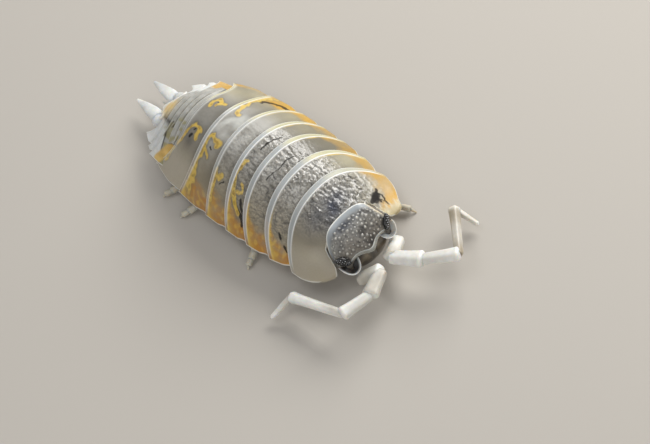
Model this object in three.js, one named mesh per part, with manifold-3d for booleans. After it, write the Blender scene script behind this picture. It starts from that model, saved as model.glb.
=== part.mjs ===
// A woodlouse at life size, in millimetres: +Z up, head towards -Y, the animal's left towards +X.
// It stands on its fourteen feet at z = 0. Every plate of its shell, each leg, each article of its
// feelers and each eye is one closed solid, and neighbours keep a narrow gap.

import * as THREE from 'three';
import { mergeVertices } from 'three/addons/utils/BufferGeometryUtils.js';
import Module from 'manifold-3d';

const wasm = await Module();
wasm.setup();

// Driving dimensions of the shell, in mm
const plateGap = 0.25; // between the plates of the trunk
const tailGap = 0.2; // between the shorter plates of the tail
const halfWidth = 3.82; // widest half width of the shell
const widestY = 1.5; // where the shell is widest
const outlineFront = 8.5; // from the widest place to where the front outline would close
const outlineRear = 9.2; // from the widest place to where the rear outline would close
const lift = 0.3; // how far the legs lift the shell
const backRise = 4.05; // from that level to the highest point of the back
const topY = 2.8; // where the back is highest
const backFront = 12.6; // from there to where the back would reach the ground in front
const backRear = 8.85; // and behind
const rimHeight = 1.28; // lower edge of the shell above the floor, at y = 0
const rimFall = 0.035; // how much that edge comes down for each mm towards the tail
const archPower = 2.15; // roundness of the shell in cross section
const sweepPower = 4.5; // how late a plate's margin bends towards its corners
const plateRim = 0.3; // thickness of a plate's free edge
const plateRoot = 0.55; // thickness of the side plates where they leave the body
const bodySide = 0.66; // share of the half width that the soft body takes up under the shell
const bodySlope = 0.12; // share of the half width over which the body's side comes down
const bellyHeight = 2.05; // underside of the body above the floor
const bellyShare = 0.35; // and its most, as a share of the arch, where the tail gets low
const stepFront = 0.1; // how far the front of a plate lies under the general arch
const stepRear = 0.06; // how far its rear edge stands above it

// The margins between the trunk's plates: y at the corners, and y on the middle of the back
const marginCorners = [-5.63, -3.37, -1.7, 0.0, 1.63, 3.25, 5.6, 8.05];
const marginMiddles = [-4.02, -2.3, -0.82, 0.69, 1.95, 3.2, 4.72, 6.5];
const firstBulge = 0.2; // how far the first plate's sides swell past the outline
const firstSkew = -0.12; // its hollow for the head lies a little to the right, as the head does
const firstRound = 0.12; // how far its front corners are rounded back

// The tail's plates: y of the rear margin on the back and at the corners, and the half width there
const tailPlates = [
  { middle: 6.95, corner: 7.2, width: 2.0 },
  { middle: 7.42, corner: 7.55, width: 1.95 },
  { middle: 7.92, corner: 8.62, width: 2.8, frontCorner: 8.28, frontWidth: 2.9 },
  { middle: 8.42, corner: 9.12, width: 2.42, frontCorner: 8.8, frontWidth: 2.62 },
  { middle: 8.92, corner: 9.85, width: 1.8, frontCorner: 9.3, frontWidth: 2.25 },
];
const tailLean = -0.1; // how far the tail bends to the right, for each mm behind its root
const tailRoot = 7;
const telsonWidth = 1.05; // half width where it leaves the fifth plate
const telsonTip = 10.2;
const telsonTipHeight = 1.12;
const uropodRoot = [0.68, 9.95, 0.95]; // measured from the bent middle line, as the tip is
const uropodTip = [0.68, 12.1, 0.78];
const uropodTurn = 0.36; // how far the spikes' tips swing back to the left

// Head, in a frame of its own that is turned a little to the animal's right
const headPlace = [-0.21, -5.61, 0];
const headTurn = -4.3;
const headWidth = 1.84; // half width at the eyes
const headRear = 1.26; // from the head's own origin back to the collar's middle
const headSweep = 0.3; // how far the collar's ends lie in front of its middle
const headRound = 0.45; // how much further its corners do
const headFront = -0.4; // to the forehead's edge
const foreheadBow = { depth: 0.34, width: 0.42 }; // the edge comes forward in a small peak
const headTop = 3.15;
const headForehead = 2.1; // height of the forehead's edge
const headCheek = 1.45; // height of the sides' lower edge
const headUnder = 1.2;
const headPower = 5.2; // squareness of the head in cross section
const sideLobe = { place: [1.33, -0.42, 1.6], half: [0.5, 0.42, 0.17] };
const face = { place: [0, -0.3, 1.36], half: [1.15, 0.38, 0.74] };
const eyePlace = [1.53, -0.22, 2.14];
const eyeSize = [0.16, 0.2, 0.42]; // half sizes
const eyeSocket = 0.2; // room around an eye
const eyeLean = 34; // degrees that an eye's upper end leans back
const eyeSplay = 47; // and outwards

// Feelers: joints from the head outwards, in mm, and half thickness of each article
const feelerJoints = {
  left: [[1.02, -6.56, 0.98], [0.12, -7.16, 1.35], [0.92, -8.83, 1.7], [2.2, -10.25, 1.8],
    [4.22, -7.75, 1.05], [4.46, -9.11, 0.42]],
  right: [[-1.5, -6.58, 1.0], [-0.84, -7.35, 1.45], [-2.2, -7.92, 1.6], [-3.88, -7.53, 1.7],
    [-4.62, -4.2, 1.1], [-6.02, -3.77, 0.42]],
};
const feelerArticles = ['base', 'article_3', 'article_4', 'article_5', 'flagellum'];
const feelerRadii = [0.36, 0.32, 0.31, 0.26, 0.25];
const feelerGap = 0.2;

// Legs: where each foot stands, right and left, y being measured from the leg's root
const legRoot = 0.5; // share of the half width
const legReach = 3.5; // x of a foot that stands under the shell's rim
const legSwing = [-1.3, -0.8, -0.45, 0.1, 0.5, 1.0, 1.15];
const legShown = { right_1: [-2.3, -4.5], right_2: [-2.85, -2.4], right_3: [-4.6, -0.42],
  right_6: [-4.53, 5.02], right_7: [-4.17, 6.78], left_1: [3.2, -5.6] };
// Along a leg: share of its reach, height, half thickness. Each article swells towards its far end.
const legProfile = [[0, 1.8, 0.34], [0.09, 1.46, 0.29], [0.4, 0.88, 0.3], [0.45, 0.79, 0.25],
  [0.6, 0.5, 0.28], [0.65, 0.43, 0.25], [0.76, 0.34, 0.26], [0.81, 0.32, 0.24], [0.93, 0.26, 0.22],
  [1, 0, 0.18]];
const legBend = [0.55, 0.08]; // the bend's place: share of the reach sideways, and along the body

const shellColour = new THREE.MeshStandardMaterial({ color: 0x8d8b82, roughness: 0.35 });
const tailColour = new THREE.MeshStandardMaterial({ color: 0x83837c, roughness: 0.4 });
const headColour = new THREE.MeshStandardMaterial({ color: 0x6c6c68, roughness: 0.35 });
const eyeColour = new THREE.MeshStandardMaterial({ color: 0x0b0b0c, roughness: 0.2 });
const limbColour = new THREE.MeshStandardMaterial({ color: 0xcfcdc3, roughness: 0.4 });

const part = new THREE.Group();

const mix = (a, b, t) => a + (b - a) * t;
const rise = (a, b, x) => THREE.MathUtils.smoothstep(x, a, b);
const vector = (p) => new THREE.Vector3(...p);

function add(name, geometry, material, parent = part) {
  const mesh = new THREE.Mesh(geometry, material);
  mesh.name = name;
  parent.add(mesh);
  return mesh;
}

// A closed surface through rings that all have the same even number of points. Each end is closed
// by a strip from one half of its ring to the other.
function loft(rings) {
  const count = rings[0].length;
  const position = rings.flat().flatMap((p) => [p.x, p.y, p.z]);
  const index = [];
  for (let r = 0; r + 1 < rings.length; r++) {
    for (let j = 0; j < count; j++) {
      const a = r * count + j;
      const b = r * count + ((j + 1) % count);
      index.push(a, b, b + count, a, b + count, a + count);
    }
  }
  const last = (rings.length - 1) * count;
  for (let j = 0; j + 1 < count / 2; j++) {
    const [a, b, c, d] = [j, j + 1, count - 2 - j, count - 1 - j];
    index.push(a, c, b, a, d, c);
    index.push(last + a, last + b, last + c, last + a, last + c, last + d);
  }
  // The strip ends in triangles that have no width where its two halves meet
  const geometry = new THREE.BufferGeometry();
  geometry.setAttribute('position', new THREE.Float32BufferAttribute(position, 3));
  geometry.setIndex(index.filter((_, k) => {
    const [a, b, c] = index.slice(k - (k % 3), k - (k % 3) + 3);
    return a !== b && b !== c && c !== a;
  }));
  return facingOut(geometry);
}

function facingOut(geometry) {
  const { position } = geometry.attributes;
  const index = geometry.index.array;
  const [a, b, c] = [new THREE.Vector3(), new THREE.Vector3(), new THREE.Vector3()];
  let volume = 0;
  for (let k = 0; k < index.length; k += 3) {
    a.fromBufferAttribute(position, index[k]);
    b.fromBufferAttribute(position, index[k + 1]);
    c.fromBufferAttribute(position, index[k + 2]);
    volume += a.dot(b.cross(c));
  }
  if (volume < 0) {
    for (let k = 0; k < index.length; k += 3) [index[k], index[k + 1]] = [index[k + 1], index[k]];
  }
  return geometry;
}

function solid(geometry) {
  const bare = geometry.clone();
  bare.deleteAttribute('normal');
  bare.deleteAttribute('uv');
  const merged = mergeVertices(bare, 1e-5);
  return new wasm.Manifold(new wasm.Mesh({
    numProp: 3,
    vertProperties: new Float32Array(merged.attributes.position.array),
    triVerts: new Uint32Array(merged.index.array),
  }));
}

// Only the largest closed surface is kept, so that a join leaves no scrap
function surface(joined) {
  const pieces = joined.decompose().sort((a, b) => b.volume() - a.volume());
  const mesh = pieces[0].getMesh();
  const geometry = new THREE.BufferGeometry();
  geometry.setAttribute('position', new THREE.Float32BufferAttribute(mesh.vertProperties, 3));
  geometry.setIndex(new THREE.Uint32BufferAttribute(mesh.triVerts, 1));
  return geometry;
}

function ellipsoid(centre, half, [lean, splay] = [0, 0], around = 20, down = 12) {
  const geometry = new THREE.SphereGeometry(1, around, down);
  geometry.scale(...half);
  geometry.rotateX(THREE.MathUtils.degToRad(-lean));
  geometry.rotateY(THREE.MathUtils.degToRad(splay));
  geometry.translate(...centre);
  return geometry;
}

// The shell's outline from above, its height along the back, and the height of its rim
function shellWidth(y) {
  const reach = y < widestY ? (widestY - y) / outlineFront : (y - widestY) / outlineRear;
  return halfWidth * (1 - Math.min(reach, 0.999) ** 2.8) ** (1 / 2.2);
}

function backHeight(y) {
  const reach = y < topY ? (topY - y) / backFront : (y - topY) / backRear;
  return lift + backRise * (1 - reach ** 2);
}

// A margin across the back: where its corners and its middle lie, and its half width
function margin(corner, middle, width = shellWidth(corner), gap = 0) {
  const rim = rimHeight - rimFall * corner;
  return { corner, middle, width, gap, rim, height: backHeight(middle) - rim, skew: 0, round: 0 };
}

// The margin that follows another one behind a gap
const behind = (m, gap) => margin(m.corner + gap, m.middle + gap, m.width, gap);

// The inner part of a margin, out to a half width
function inner(m, width) {
  const share = width / m.width;
  const top = m.rim + m.height;
  const rim = top - m.height * share ** archPower;
  const corner = marginY(m, share);
  return { corner, middle: m.middle, width, gap: 0, rim, height: top - rim, source: m, share };
}

// y along a margin at u, from -1 at its right corner to 1 at its left. Where the margin runs
// steeply the gap in front of it is widened, so that it keeps its width.
function marginY(m, u) {
  if (m.source) return marginY(m.source, u * m.share);
  const sweep = m.middle - m.corner;
  const slope = (sweep * sweepPower * Math.abs(u) ** (sweepPower - 1)) / m.width;
  const along = Math.abs(u - m.skew * (1 - u * u));
  const bent = m.corner + sweep * (1 - along ** sweepPower) + m.round * u ** 16;
  return bent + m.gap * (Math.hypot(1, slope) - 1);
}

const trunkPlate = { across: 24, along: 5, tuck: 0.05, bulge: 0, lean: 0 };

// A plate of the shell with the body under it: an arch on top, side plates with thin rims, and
// the belly between them
function segment(front, rear, options = {}) {
  const { across, along, tuck, bulge, lean } = { ...trunkPlate, ...options };
  const rings = [];
  for (let r = 0; r <= along; r++) {
    const v = r / along;
    const straight = mix(front.width, rear.width, v);
    const outline = shellWidth(mix(front.corner, rear.corner, v));
    const ends = mix(shellWidth(front.corner), shellWidth(rear.corner), v);
    const swell = (lean ? 0 : outline - ends) + bulge * Math.sin(Math.PI * v);
    const half = (straight + swell) * (1 - tuck * (1 - rise(0, 0.35, v)));
    const rim = mix(front.rim, rear.rim, v);
    const height = mix(front.height, rear.height, v);
    const step = mix(-stepFront, stepRear, rise(0, 0.9, v));
    const belly = Math.min(bellyHeight, rim + bellyShare * height);
    const top = [];
    const under = [];
    for (let j = 0; j <= across; j++) {
      const u = Math.sin(((j / across) * 2 - 1) * (Math.PI / 2));
      const y = mix(marginY(front, u), marginY(rear, u), v);
      const z = rim + height * (1 - Math.abs(u) ** archPower) + step * (1 - u ** 6);
      const plateUnder = z - mix(plateRim, plateRoot, rise(1, 0.8, Math.abs(u)));
      const body = 1 - rise(bodySide, bodySide + bodySlope, Math.abs(u));
      const x = u * half + lean * (y - tailRoot);
      top.push(new THREE.Vector3(x, y, z));
      under.push(new THREE.Vector3(x, y, mix(plateUnder, Math.min(belly, plateUnder), body)));
    }
    rings.push([...top, ...under.reverse()]);
  }
  return loft(rings);
}

// Trunk: seven plates
const margins = marginCorners.map((corner, i) => margin(corner, marginMiddles[i]));
Object.assign(margins[0], { skew: firstSkew, round: firstRound });
const trunkFront = (i) => (i === 0 ? margins[0] : behind(margins[i], plateGap));
for (let i = 0; i < 7; i++) {
  const bulge = i === 0 ? firstBulge : 0;
  add(`pereonite_${i + 1}`, segment(trunkFront(i), margins[i + 1], { bulge }), shellColour);
}

// Tail: two plates that lie between the corners of the seventh, and three with pointed sides
let ahead = margins[7];
tailPlates.forEach((plate, i) => {
  const rear = margin(plate.corner, plate.middle, plate.width);
  let front = inner(behind(ahead, tailGap), Math.min(plate.width, ahead.width * 0.99));
  if (plate.frontCorner) front = margin(plate.frontCorner, ahead.middle + tailGap, plate.frontWidth);
  const options = { across: 18, along: 3, tuck: 0.02, lean: tailLean };
  add(`pleonite_${i + 1}`, segment(front, rear, options), tailColour);
  ahead = rear;
});

// Telson: a small triangular plate with hollow sides
function telson() {
  const rings = [];
  const along = 5;
  const front = inner(behind(ahead, tailGap), telsonWidth);
  for (let r = 0; r <= along; r++) {
    const v = r / along;
    const half = mix(telsonWidth, 0.12, v ** 0.62);
    const top = [];
    const under = [];
    for (let j = 0; j <= 8; j++) {
      const u = (j / 8) * 2 - 1;
      const y = mix(marginY(front, u), telsonTip, v);
      const x = u * half + tailLean * (y - tailRoot);
      const z = mix(backHeight(front.middle) - 0.1, telsonTipHeight, v) - 0.25 * u * u * (1 - v);
      top.push(new THREE.Vector3(x, y, z));
      under.push(new THREE.Vector3(x, y, z - mix(0.6, 0.35, v)));
    }
    rings.push([...top, ...under.reverse()]);
  }
  return loft(rings);
}
add('telson', telson(), tailColour);

// A ring of points about a centre, at right angles to an axis
function ring(centre, axis, sideways, radius, flat = 1, count = 8) {
  const across = sideways.clone();
  const over = axis.clone().cross(across).normalize();
  return Array.from({ length: count }, (_, j) => {
    const angle = ((j + 0.5) / count) * 2 * Math.PI;
    return centre.clone()
      .addScaledVector(across, radius * Math.cos(angle))
      .addScaledVector(over, radius * flat * Math.sin(angle));
  });
}

// One article of a feeler or a tail spike: a tube that narrows at its two ends
function article(from, to, stations, flat = 1) {
  const axis = to.clone().sub(from).normalize();
  const sideways = axis.clone().cross(new THREE.Vector3(0, 0, 1)).normalize();
  return loft(stations.map(([t, radius]) => (
    ring(from.clone().lerp(to, t), axis, sideways, radius, flat)
  )));
}

// How far the side of one article reaches across the end of the other, as a share of its radius
const elbow = (a, b) => Math.sin(Math.min(a.angleTo(b), Math.PI / 2));

// Feelers: each article stops short of the side of the next one
for (const [side, joints] of Object.entries(feelerJoints)) {
  const points = joints.map(vector);
  const axes = points.slice(1).map((p, i) => p.clone().sub(points[i]).normalize());
  feelerArticles.forEach((name, i) => {
    const radius = feelerRadii[i];
    const bendIn = i > 0 ? elbow(axes[i - 1], axes[i]) : 0;
    const bendOut = i < 4 ? elbow(axes[i], axes[i + 1]) : 0;
    const start = i > 0 ? 0.8 * feelerRadii[i - 1] * bendIn : 0;
    const from = points[i].clone().addScaledVector(axes[i], -start);
    const room = i < 4 ? feelerRadii[i + 1] * bendOut + feelerGap : 0;
    const to = points[i + 1].clone().addScaledVector(axes[i], -room);
    const stations = i < 4
      ? [[0, radius * 0.75], [0.1, radius * 0.95], [0.85, radius], [1, radius * 0.8]]
      : [[0, radius * 0.8], [0.12, radius], [0.6, radius * 0.85], [1, radius * 0.4]];
    add(`antenna_${side}_${name}`, article(from, to, stations), limbColour);
  });
}

// Uropods: a short foot beside the telson, a flattened spike behind it, and a slender one inside
for (const [side, sign] of [['left', 1], ['right', -1]]) {
  const [rootX, rootY, rootZ] = uropodRoot;
  const [tipX, tipY, tipZ] = uropodTip;
  const bend = (y) => tailLean * (y - tailRoot);
  const root = new THREE.Vector3(sign * rootX + bend(rootY), rootY, rootZ);
  const tip = new THREE.Vector3(sign * tipX + bend(tipY) + uropodTurn, tipY, tipZ);
  const block = ellipsoid([root.x + sign * 0.16, root.y, root.z], [0.38, 0.42, 0.28], [0, 0], 12, 8);
  const spike = article(root, tip, [[0, 0.3], [0.3, 0.36], [0.6, 0.24], [1, 0.08]], 0.75);
  add(`uropod_${side}`, surface(solid(block).add(solid(spike))), limbColour);
}

// Head: a dome with a rear collar and a peaked forehead, two side lobes and a face below them
const head = new THREE.Group();
head.position.set(...headPlace);
head.rotation.z = THREE.MathUtils.degToRad(headTurn);
part.add(head);

function cranium() {
  const rings = [];
  const along = 9;
  const across = 20;
  for (let r = 0; r <= along; r++) {
    const v = r / along;
    const half = headWidth * mix(0.88, 1, rise(0, 0.3, v)) * mix(1, 0.96, rise(0.5, 1, v));
    const height = mix(headForehead, headTop, Math.sin((Math.min(v * 1.4, 1) * Math.PI) / 2));
    const top = [];
    const under = [];
    for (let j = 0; j <= across; j++) {
      const u = Math.sin(((j / across) * 2 - 1) * (Math.PI / 2));
      const bow = foreheadBow.depth * Math.exp(-((u * half / foreheadBow.width) ** 2));
      const rear = headRear - headSweep * u * u - headRound * Math.abs(u) ** 8;
      const y = mix(headFront - bow, rear, v);
      const z = mix(headCheek, height, (1 - Math.abs(u) ** headPower) ** 0.9);
      top.push(new THREE.Vector3(u * half, y, z));
      under.push(new THREE.Vector3(u * half, y, mix(headUnder, headCheek - 0.05, u * u)));
    }
    rings.push([...top, ...under.reverse()]);
  }
  return loft(rings);
}

const mirrored = ([x, y, z], sign) => [sign * x, y, z];

function headSolid() {
  let whole = solid(cranium());
  whole = whole.add(solid(ellipsoid(face.place, face.half)));
  for (const sign of [1, -1]) {
    whole = whole.add(solid(ellipsoid(mirrored(sideLobe.place, sign), sideLobe.half)));
    const socket = eyeSize.map((s) => s + eyeSocket);
    const turn = [eyeLean, sign * eyeSplay];
    whole = whole.subtract(solid(ellipsoid(mirrored(eyePlace, sign), socket, turn)));
  }
  return surface(whole);
}
add('head', headSolid(), headColour, head);
for (const [side, sign] of [['left', 1], ['right', -1]]) {
  const turn = [eyeLean, sign * eyeSplay];
  add(`eye_${side}`, ellipsoid(mirrored(eyePlace, sign), eyeSize, turn, 14, 10), eyeColour, head);
}

// Legs: each leaves the belly downwards, runs out under the shell, bends towards its foot and
// stands on a small flat
for (const [side, sign] of [['left', 1], ['right', -1]]) {
  for (let i = 0; i < 7; i++) {
    const front = trunkFront(i);
    const rear = margins[i + 1];
    const rootY = (marginY(front, legRoot) + marginY(rear, legRoot)) / 2;
    const root = new THREE.Vector2(sign * legRoot * Math.min(front.width + 0.6, rear.width), rootY);
    const shown = legShown[`${side}_${i + 1}`];
    const footY = rootY + legSwing[i];
    const hidden = new THREE.Vector2(sign * Math.min(legReach, shellWidth(footY) - 0.1), footY);
    const foot = shown ? new THREE.Vector2(...shown) : hidden;
    const bend = new THREE.Vector2(mix(root.x, foot.x, legBend[0]), mix(root.y, foot.y, legBend[1]));
    const line = new THREE.QuadraticBezierCurve(root, bend, foot);
    const spine = legProfile.map(([share, z]) => {
      const at = line.getPoint(share);
      return new THREE.Vector3(at.x, at.y, z);
    });
    const rings = spine.map((centre, k) => {
      const isEnd = k === 0 || k === spine.length - 1;
      const axis = isEnd
        ? new THREE.Vector3(0, 0, -1)
        : spine[k + 1].clone().sub(spine[k - 1]).normalize();
      const [share, , radius] = legProfile[k];
      const out = line.getTangent(share);
      return ring(centre, axis, new THREE.Vector3(-out.y, out.x, 0), radius);
    });
    add(`leg_${side}_${i + 1}`, loft(rings), limbColour);
  }
}

// The origin goes to the middle of the whole, on the floor
const box = new THREE.Box3().setFromObject(part);
const middle = box.getCenter(new THREE.Vector3());
part.position.set(-middle.x, -middle.y, 0);

export default part;
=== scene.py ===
import math

import bpy
import numpy as np
from mathutils import Matrix, Vector


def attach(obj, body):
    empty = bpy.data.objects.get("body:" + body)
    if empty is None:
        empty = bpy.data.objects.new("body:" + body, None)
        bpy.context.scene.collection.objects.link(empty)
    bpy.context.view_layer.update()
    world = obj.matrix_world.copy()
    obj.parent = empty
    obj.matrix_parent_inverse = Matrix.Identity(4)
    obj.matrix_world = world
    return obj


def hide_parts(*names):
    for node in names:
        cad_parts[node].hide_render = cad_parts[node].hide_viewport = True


# The woodlouse stands on its feet at life size, 23 mm with feelers and tail spikes. Its body is
# measured here in millimetres, head towards -Y and its left towards +X, and moved by one step so
# that the middle of the whole is at the origin.
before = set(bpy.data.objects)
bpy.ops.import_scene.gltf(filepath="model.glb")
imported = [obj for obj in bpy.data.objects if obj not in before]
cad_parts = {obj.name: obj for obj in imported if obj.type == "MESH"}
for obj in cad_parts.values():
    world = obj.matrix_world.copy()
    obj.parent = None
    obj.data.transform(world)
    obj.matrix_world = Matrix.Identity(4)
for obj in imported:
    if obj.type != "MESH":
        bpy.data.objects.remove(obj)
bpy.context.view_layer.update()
scene = bpy.context.scene
MM = 0.001
BODY_STEP = np.array([0.7573428, -0.7712531, 0.0])


def to_scene(points):
    return (points + BODY_STEP) * MM


# Camera: a long close-up lens, high in front of the animal and a little to its right, held at a
# slant so that the body runs from the head at the lower right to the tail at the upper left.
aim = Vector(to_scene([-0.148, -2.04, 0.3]))
camera_turn = math.radians(-20.9)
camera_height = math.radians(55.0)
camera_slant = math.radians(29.3)
camera_away = 155.9 * MM
seen_from = Vector((
    math.sin(camera_turn) * math.cos(camera_height),
    -math.cos(camera_turn) * math.cos(camera_height),
    math.sin(camera_height),
))
level = Vector((math.cos(camera_turn), math.sin(camera_turn), 0))
upright = seen_from.cross(level)
picture_x = level * math.cos(camera_slant) - upright * math.sin(camera_slant)
picture_y = level * math.sin(camera_slant) + upright * math.cos(camera_slant)
lens = bpy.data.cameras.new("macro_lens")
lens.sensor_width = 36
lens.lens = 164.9
lens.clip_start = 0.005
lens.clip_end = 5
camera = bpy.data.objects.new("macro_camera", lens)
scene.collection.objects.link(camera)
turned = Matrix((picture_x, picture_y, seen_from)).transposed().to_4x4()
camera.matrix_world = Matrix.Translation(aim + seen_from * camera_away) @ turned
bpy.context.scene.camera = camera

# Studio: a pale matt table, a wide soft window of light low on the animal's left, which puts the
# long sheen on its back, and weak fill from its right, from the front and from above.
TABLE_PALE = (0.56, 0.53, 0.48, 1)


def tune(node, values):
    for socket, value in values.items():
        node.inputs[socket].default_value = value


bpy.ops.mesh.primitive_plane_add(size=1.2, location=(0, 0, 0))
table = bpy.context.object
table.name = "table"
table_paint = bpy.data.materials.new("table_paint")
table_paint.use_nodes = True
tune(table_paint.node_tree.nodes["Principled BSDF"], {"Base Color": TABLE_PALE, "Roughness": 0.9})
table.data.materials.append(table_paint)


def softbox(name, towards, away, width, height, watts, colour=(1, 1, 1)):
    """A soft lamp, so many mm away from the animal in a direction, with sides in mm."""
    lamp = bpy.data.lights.new(name, "AREA")
    lamp.shape = "RECTANGLE"
    lamp.size = width * MM
    lamp.size_y = height * MM
    lamp.energy = watts
    lamp.color = colour
    holder = bpy.data.objects.new(name, lamp)
    scene.collection.objects.link(holder)
    direction = Vector(towards).normalized()
    holder.location = direction * away * MM
    holder.rotation_euler = direction.to_track_quat("Z", "Y").to_euler()


softbox("window", (0.82, 0.1, 0.52), 130, 110, 70, 0.18, (1.0, 0.98, 0.95))
softbox("side_fill", (-0.9, -0.1, 0.5), 120, 90, 80, 0.014, (1.0, 0.98, 0.94))
softbox("front_fill", (-0.35, -0.9, 0.75), 160, 120, 90, 0.04, (1.0, 0.97, 0.92))
softbox("overhead", (-0.1, 0.1, 1.0), 160, 90, 90, 0.035)
room = bpy.data.worlds.new("room")
scene.world = room
room.use_nodes = True
tune(room.node_tree.nodes["Background"], {"Color": (0.96, 0.96, 1.0, 1), "Strength": 0.28})
scene.view_settings.view_transform = "Standard"

# Trunk shell: seven arched plates of thin horny skin, each lapping over the one behind it with a
# clear rear band between two bright lines. Under the skin the flesh is warm grey, and the side
# lobes are amber.
PLATE_GAP = 0.25
HALF_WIDTH = 3.82
WIDEST_Y = 1.5
OUTLINE_FRONT, OUTLINE_REAR = 8.5, 9.2
OUTLINE_POWER, OUTLINE_ROOT = 2.8, 2.2
LIFT, BACK_RISE, TOP_Y = 0.3, 4.05, 2.8
BACK_FRONT, BACK_REAR = 12.6, 8.85
RIM_HEIGHT, RIM_FALL = 1.28, 0.035
ARCH_POWER, SWEEP_POWER = 2.15, 4.5
MARGIN_CORNERS = (-5.63, -3.37, -1.7, 0.0, 1.63, 3.25, 5.6, 8.05)
MARGIN_MIDDLES = (-4.02, -2.3, -0.82, 0.69, 1.95, 3.2, 4.72, 6.5)
FIRST_BULGE, FIRST_SKEW, FIRST_ROUND = 0.2, -0.12, 0.12
STEP_FRONT, STEP_REAR = 0.1, 0.06
RIM_DROP = 0.18
TUCKED, LAPPED = -0.28, 1.06
SKIN, SKIN_DEEP = 0.12, 0.3
EDGE_ROLL = 0.05
COLUMNS = 320
draw = np.random.default_rng(4)


def rise(a, b, x):
    """0 before a, 1 past b, and a smooth step between them."""
    t = np.clip((x - a) / (b - a), 0, 1)
    return t * t * (3 - 2 * t)


def mix(a, b, t):
    return a + (b - a) * t


def bell(x, width):
    return np.exp(-((x / width) ** 2))


def shell_width(y):
    """Half width of the shell's outline, seen from above."""
    reach = np.where(y < WIDEST_Y, (WIDEST_Y - y) / OUTLINE_FRONT, (y - WIDEST_Y) / OUTLINE_REAR)
    return HALF_WIDTH * (1 - np.minimum(reach, 0.999) ** OUTLINE_POWER) ** (1 / OUTLINE_ROOT)


def back_height(y):
    """Height of the ridge of the back above the floor."""
    reach = (TOP_Y - y) / BACK_FRONT if y < TOP_Y else (y - TOP_Y) / BACK_REAR
    return LIFT + BACK_RISE * (1 - reach**2)


def margin(corner, middle, width=None, gap=0.0):
    """A plate's margin, which bows over the back between two corners at the rim's height."""
    width = float(shell_width(corner)) if width is None else width
    rim = RIM_HEIGHT - RIM_FALL * corner
    return dict(corner=corner, middle=middle, width=width, gap=gap, rim=rim,
                height=back_height(middle) - rim, skew=0.0, blunt=0.0, share=1.0)


def behind(m, gap):
    """The front margin of the next plate, a gap behind this one."""
    return margin(m["corner"] + gap, m["middle"] + gap, m["width"], gap)


def inner(m, width):
    """The middle stretch of a margin, out to a smaller half width."""
    share = width / m["width"]
    top = m["rim"] + m["height"]
    rim = top - m["height"] * share**ARCH_POWER
    return {**m, "rim": rim, "height": top - rim, "share": share, "narrow": width,
            "side": float(margin_y(m, share))}


def margin_y(m, u):
    """y along a margin, where u is -1 at its right corner and 1 at its left one."""
    u = u * m["share"]
    sweep = m["middle"] - m["corner"]
    slope = sweep * SWEEP_POWER * np.abs(u) ** (SWEEP_POWER - 1) / m["width"]
    along = np.abs(u - m["skew"] * (1 - u * u))
    bent = m["corner"] + sweep * (1 - along**SWEEP_POWER) + m["blunt"] * u**16
    return bent + m["gap"] * (np.hypot(1, slope) - 1)


def arch(front, rear, u, v, tuck=0.05, bulge=0.0, lean=0.0, lip=1.0, droop=RIM_DROP):
    """Points of a plate's upper side; v runs from its front margin, 0, to its rear one, 1."""
    inside = np.clip(v, 0, 1)
    front_width = front.get("narrow", front["width"])
    front_corner = front.get("side", front["corner"])
    ends = mix(shell_width(front_corner), shell_width(rear["corner"]), inside)
    outline = shell_width(mix(front_corner, rear["corner"], inside))
    swell = (0 if lean else outline - ends) + bulge * np.sin(np.pi * inside)
    half = mix(front_width, rear.get("narrow", rear["width"]), inside) + swell
    half = half * (1 - tuck * (1 - rise(0, 0.35, v)))
    rim = mix(front["rim"], rear["rim"], v)
    height = mix(front["height"], rear["height"], v)
    step = lip * mix(-STEP_FRONT, STEP_REAR, rise(0, 0.9, v)) + 0.5 * np.minimum(v, 0)
    y = mix(margin_y(front, u), margin_y(rear, u), v)
    z = rim + height * (1 - np.abs(u) ** ARCH_POWER) + step * (1 - u**6) - droop * np.abs(u) ** 8
    return np.stack([u * half + lean * (y - 7), y, z], -1)


def across_plate(count):
    """Shares of the half width, from side to side, closer together towards the sides."""
    return np.sin(np.linspace(-1, 1, count) * np.pi / 2)


def along_plate(*stretches):
    """Shares of a plate's length, in even steps over one stretch after another."""
    return np.unique(np.concatenate([np.linspace(*stretch) for stretch in stretches]))


def edge_distance(points, axis, last):
    """How far each point of a grid lies from the grid's first or last row, square to that row."""
    grid = points if axis == 0 else points.swapaxes(0, 1)
    grid = grid[::-1] if last else grid
    steps = np.linalg.norm(np.diff(grid, axis=0), axis=-1)
    run = np.concatenate([np.zeros((1, grid.shape[1])), np.cumsum(steps, 0)])
    along = np.gradient(grid[0], axis=0)
    along /= np.linalg.norm(along, axis=-1, keepdims=True) + 1e-9
    inwards = grid[2] - grid[0]
    inwards /= np.linalg.norm(inwards, axis=-1, keepdims=True) + 1e-9
    run = run * np.linalg.norm(np.cross(along, inwards), axis=-1)
    run = run[::-1] if last else run
    return run if axis == 0 else run.T


def free_edges(points):
    """How far each point lies from its plate's rear edge, right side and left side."""
    return [edge_distance(points, *edge) for edge in ((0, True), (1, False), (1, True))]


def border_distance(points, border):
    """How far each point lies from the nearest of a border's points."""
    nearest = np.full(points.shape[:-1], 1e9)
    for place in border:
        nearest = np.minimum(nearest, np.linalg.norm(points - place, axis=-1))
    return nearest


def unit(way):
    return way / np.linalg.norm(way)


def waves(points, size, seed, stretch=(1, 1, 1)):
    """A smooth random field, about -1 to 1, whose hills are size wide."""
    dice = np.random.default_rng(seed)
    total = np.zeros(points.shape[:-1])
    for _ in range(28):
        way = unit(dice.normal(size=3)) * 2 * np.pi / (size * dice.uniform(1.5, 3.2))
        total += np.cos((points / stretch) @ way + dice.uniform(0, 2 * np.pi))
    return np.clip(total / 7, -1, 1)


def hue(red, green, blue):
    """A colour as the eye names it, 0 to 255, in the light values that a shader takes."""
    c = np.array([red, green, blue]) / 255
    return np.where(c < 0.04045, c / 12.92, ((c + 0.055) / 1.055) ** 2.4)


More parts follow.
